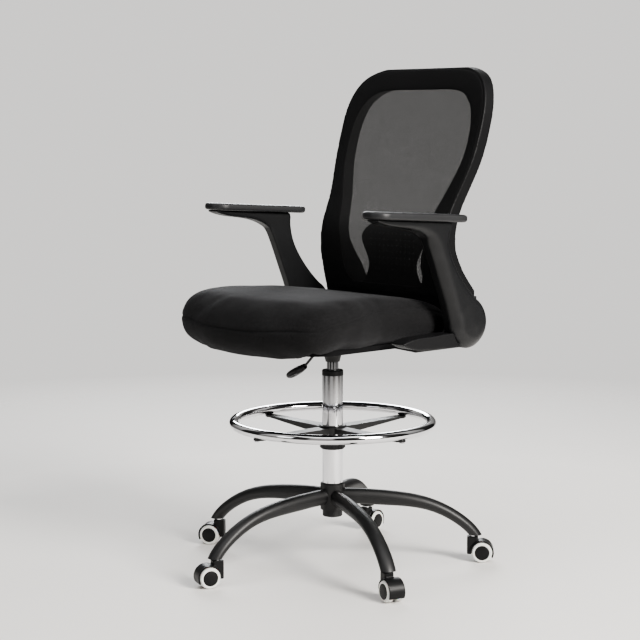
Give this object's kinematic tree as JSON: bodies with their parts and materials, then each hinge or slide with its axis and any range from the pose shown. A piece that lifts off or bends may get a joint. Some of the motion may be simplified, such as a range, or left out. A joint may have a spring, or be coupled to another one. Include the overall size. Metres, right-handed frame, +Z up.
{
  "type": "drafting chair",
  "caption": "Tall swivel chair with a padded fabric seat, curved mesh back, flip-up arms, chrome gas column, foot ring and a bent-tube base on twin-wheel casters.",
  "frame": {"origin": "on the floor under the axis of the gas column", "axes": "+Z up along the column, the chair faces -Y, the sitter's left is +X"},
  "size_m": [0.7627, 0.749, 1.204],
  "materials": {
    "black_steel": "semi-gloss black powder coat",
    "chrome": "polished chrome plate",
    "zinc_steel": "zinc plated",
    "black_plastic": "moulded, fine texture",
    "arm_pad": "soft-touch moulding",
    "caster_wheel": "black cap with a pale soft tread",
    "plywood": "bent plywood under a black dust cover",
    "seat_fabric": "woven black cloth over foam",
    "mesh_fabric": "stretched black mesh"
  },
  "bodies": {
    "base": {"base_hub": "black_steel", "base_leg_1": "black_steel", "base_leg_2": "black_steel", "base_leg_3": "black_steel", "base_leg_4": "black_steel", "base_leg_5": "black_steel", "leg_sockets": "zinc_steel", "column_tube": "chrome", "guide_bush": "black_plastic", "thrust_bearing": "zinc_steel"},
    "column_rod": {"piston_rod": "zinc_steel", "rod_clip": "zinc_steel"},
    "seat": {"lift_cylinder": "chrome", "seat_plate": "black_steel", "seat_shell": "plywood", "seat_cushion": "seat_fabric", "side_bracket_left": "black_plastic", "side_bracket_right": "black_plastic", "back_frame": "black_plastic", "back_mesh": "mesh_fabric", "lumbar_panel": "black_plastic", "pivot_pins": "zinc_steel", "seat_bolts": "zinc_steel"},
    "valve_pin": {"release_pin": "zinc_steel"},
    "lever": {"lever_rod": "black_steel", "lever_paddle": "black_plastic"},
    "arm_left": {"arm_left": "black_plastic", "arm_pad_left": "arm_pad"},
    "arm_right": {"arm_right": "black_plastic", "arm_pad_right": "arm_pad"},
    "foot_ring": {"ring_hoop": "chrome", "ring_spider": "black_steel", "ring_bolts": "zinc_steel", "ring_sleeve": "black_plastic"},
    "ring_lock": {"ring_collar": "black_plastic"},
    "caster_1": {"caster_hood_1": "black_plastic", "caster_stem_1": "chrome", "caster_axle_1": "zinc_steel"},
    "wheel_1_left": {"caster_wheel_1_left": "caster_wheel"},
    "wheel_1_right": {"caster_wheel_1_right": "caster_wheel"},
    "caster_2": {"caster_hood_2": "black_plastic", "caster_stem_2": "chrome", "caster_axle_2": "zinc_steel"},
    "wheel_2_left": {"caster_wheel_2_left": "caster_wheel"},
    "wheel_2_right": {"caster_wheel_2_right": "caster_wheel"},
    "caster_3": {"caster_hood_3": "black_plastic", "caster_stem_3": "chrome", "caster_axle_3": "zinc_steel"},
    "wheel_3_left": {"caster_wheel_3_left": "caster_wheel"},
    "wheel_3_right": {"caster_wheel_3_right": "caster_wheel"},
    "caster_4": {"caster_hood_4": "black_plastic", "caster_stem_4": "chrome", "caster_axle_4": "zinc_steel"},
    "wheel_4_left": {"caster_wheel_4_left": "caster_wheel"},
    "wheel_4_right": {"caster_wheel_4_right": "caster_wheel"},
    "caster_5": {"caster_hood_5": "black_plastic", "caster_stem_5": "chrome", "caster_axle_5": "zinc_steel"},
    "wheel_5_left": {"caster_wheel_5_left": "caster_wheel"},
    "wheel_5_right": {"caster_wheel_5_right": "caster_wheel"}
  },
  "joints": [
    {"name": "seat_swivel", "type": "hinge", "parent": "base", "child": "column_rod", "pos_m": [0, 0, 0.1275], "axis": [0, 0, 1], "continuous": true},
    {"name": "seat_height", "type": "slide", "parent": "column_rod", "child": "seat", "axis": [0, 0, 1], "range_m": [-0.015, 0.185]},
    {"name": "height_lever", "type": "hinge", "parent": "seat", "child": "lever", "pos_m": [-0.03961, 0.00557, 0.541], "axis": [0.1392, 0.9903, 0], "range_deg": [0, 6], "stiffness_Nm_per_rad": 1.2, "springref_deg": -5.73},
    {"name": "valve_press", "type": "slide", "parent": "seat", "child": "valve_pin", "axis": [0, 0, -1], "range_m": [0, 0.0045]},
    {"name": "arm_flip_left", "type": "hinge", "parent": "seat", "child": "arm_left", "pos_m": [0.27, 0.169, 0.603], "axis": [-1, 0, 0], "range_deg": [0, 90]},
    {"name": "arm_flip_right", "type": "hinge", "parent": "seat", "child": "arm_right", "pos_m": [-0.27, 0.169, 0.603], "axis": [-1, 0, 0], "range_deg": [0, 90]},
    {"name": "ring_height", "type": "slide", "parent": "base", "child": "foot_ring", "axis": [0, 0, 1], "range_m": [-0.065, 0.055]},
    {"name": "collar_twist", "type": "hinge", "parent": "foot_ring", "child": "ring_lock", "pos_m": [0, 0, 0.284], "axis": [0, 0, 1], "range_deg": [0, 120]},
    {"name": "caster_swivel_1", "type": "hinge", "parent": "base", "child": "caster_1", "pos_m": [0.21968, 0.26602, 0.075], "axis": [0, 0, 1], "continuous": true},
    {"name": "wheel_spin_1_left", "type": "hinge", "parent": "caster_1", "child": "wheel_1_left", "pos_m": [0.2355, 0.2813, 0.025], "axis": [0.6947, -0.7193, 0], "continuous": true},
    {"name": "wheel_spin_1_right", "type": "hinge", "parent": "caster_1", "child": "wheel_1_right", "pos_m": [0.2355, 0.2813, 0.025], "axis": [0.6947, -0.7193, 0], "continuous": true},
    {"name": "caster_swivel_2", "type": "hinge", "parent": "base", "child": "caster_2", "pos_m": [-0.18511, 0.29113, 0.075], "axis": [0, 0, 1], "continuous": true},
    {"name": "wheel_spin_2_left", "type": "hinge", "parent": "caster_2", "child": "wheel_2_left", "pos_m": [-0.18799, 0.31294, 0.025], "axis": [0.9914, 0.1305, 0], "continuous": true},
    {"name": "wheel_spin_2_right", "type": "hinge", "parent": "caster_2", "child": "wheel_2_right", "pos_m": [-0.18799, 0.31294, 0.025], "axis": [0.9914, 0.1305, 0], "continuous": true},
    {"name": "caster_swivel_3", "type": "hinge", "parent": "base", "child": "caster_3", "pos_m": [-0.33409, -0.08609, 0.075], "axis": [0, 0, 1], "continuous": true},
    {"name": "wheel_spin_3_left", "type": "hinge", "parent": "caster_3", "child": "wheel_3_left", "pos_m": [-0.35211, -0.09871, 0.025], "axis": [-0.5736, 0.8192, 0], "continuous": true},
    {"name": "wheel_spin_3_right", "type": "hinge", "parent": "caster_3", "child": "wheel_3_right", "pos_m": [-0.35211, -0.09871, 0.025], "axis": [-0.5736, 0.8192, 0], "continuous": true},
    {"name": "caster_swivel_4", "type": "hinge", "parent": "base", "child": "caster_4", "pos_m": [-0.02136, -0.34434, 0.075], "axis": [0, 0, 1], "continuous": true},
    {"name": "wheel_spin_4_left", "type": "hinge", "parent": "caster_4", "child": "wheel_4_left", "pos_m": [-0.02889, -0.36501, 0.025], "axis": [-0.9397, 0.342, 0], "continuous": true},
    {"name": "wheel_spin_4_right", "type": "hinge", "parent": "caster_4", "child": "wheel_4_right", "pos_m": [-0.02889, -0.36501, 0.025], "axis": [-0.9397, 0.342, 0], "continuous": true},
    {"name": "caster_swivel_5", "type": "hinge", "parent": "base", "child": "caster_5", "pos_m": [0.32088, -0.12672, 0.075], "axis": [0, 0, 1], "continuous": true},
    {"name": "wheel_spin_5_left", "type": "hinge", "parent": "caster_5", "child": "wheel_5_left", "pos_m": [0.34198, -0.13297, 0.025], "axis": [-0.284, -0.9588, 0], "continuous": true},
    {"name": "wheel_spin_5_right", "type": "hinge", "parent": "caster_5", "child": "wheel_5_right", "pos_m": [0.34198, -0.13297, 0.025], "axis": [-0.284, -0.9588, 0], "continuous": true}
  ],
  "couplings": [
    {"joint": "valve_press", "follows": "height_lever", "m_per_rad": 0.04}
  ]
}
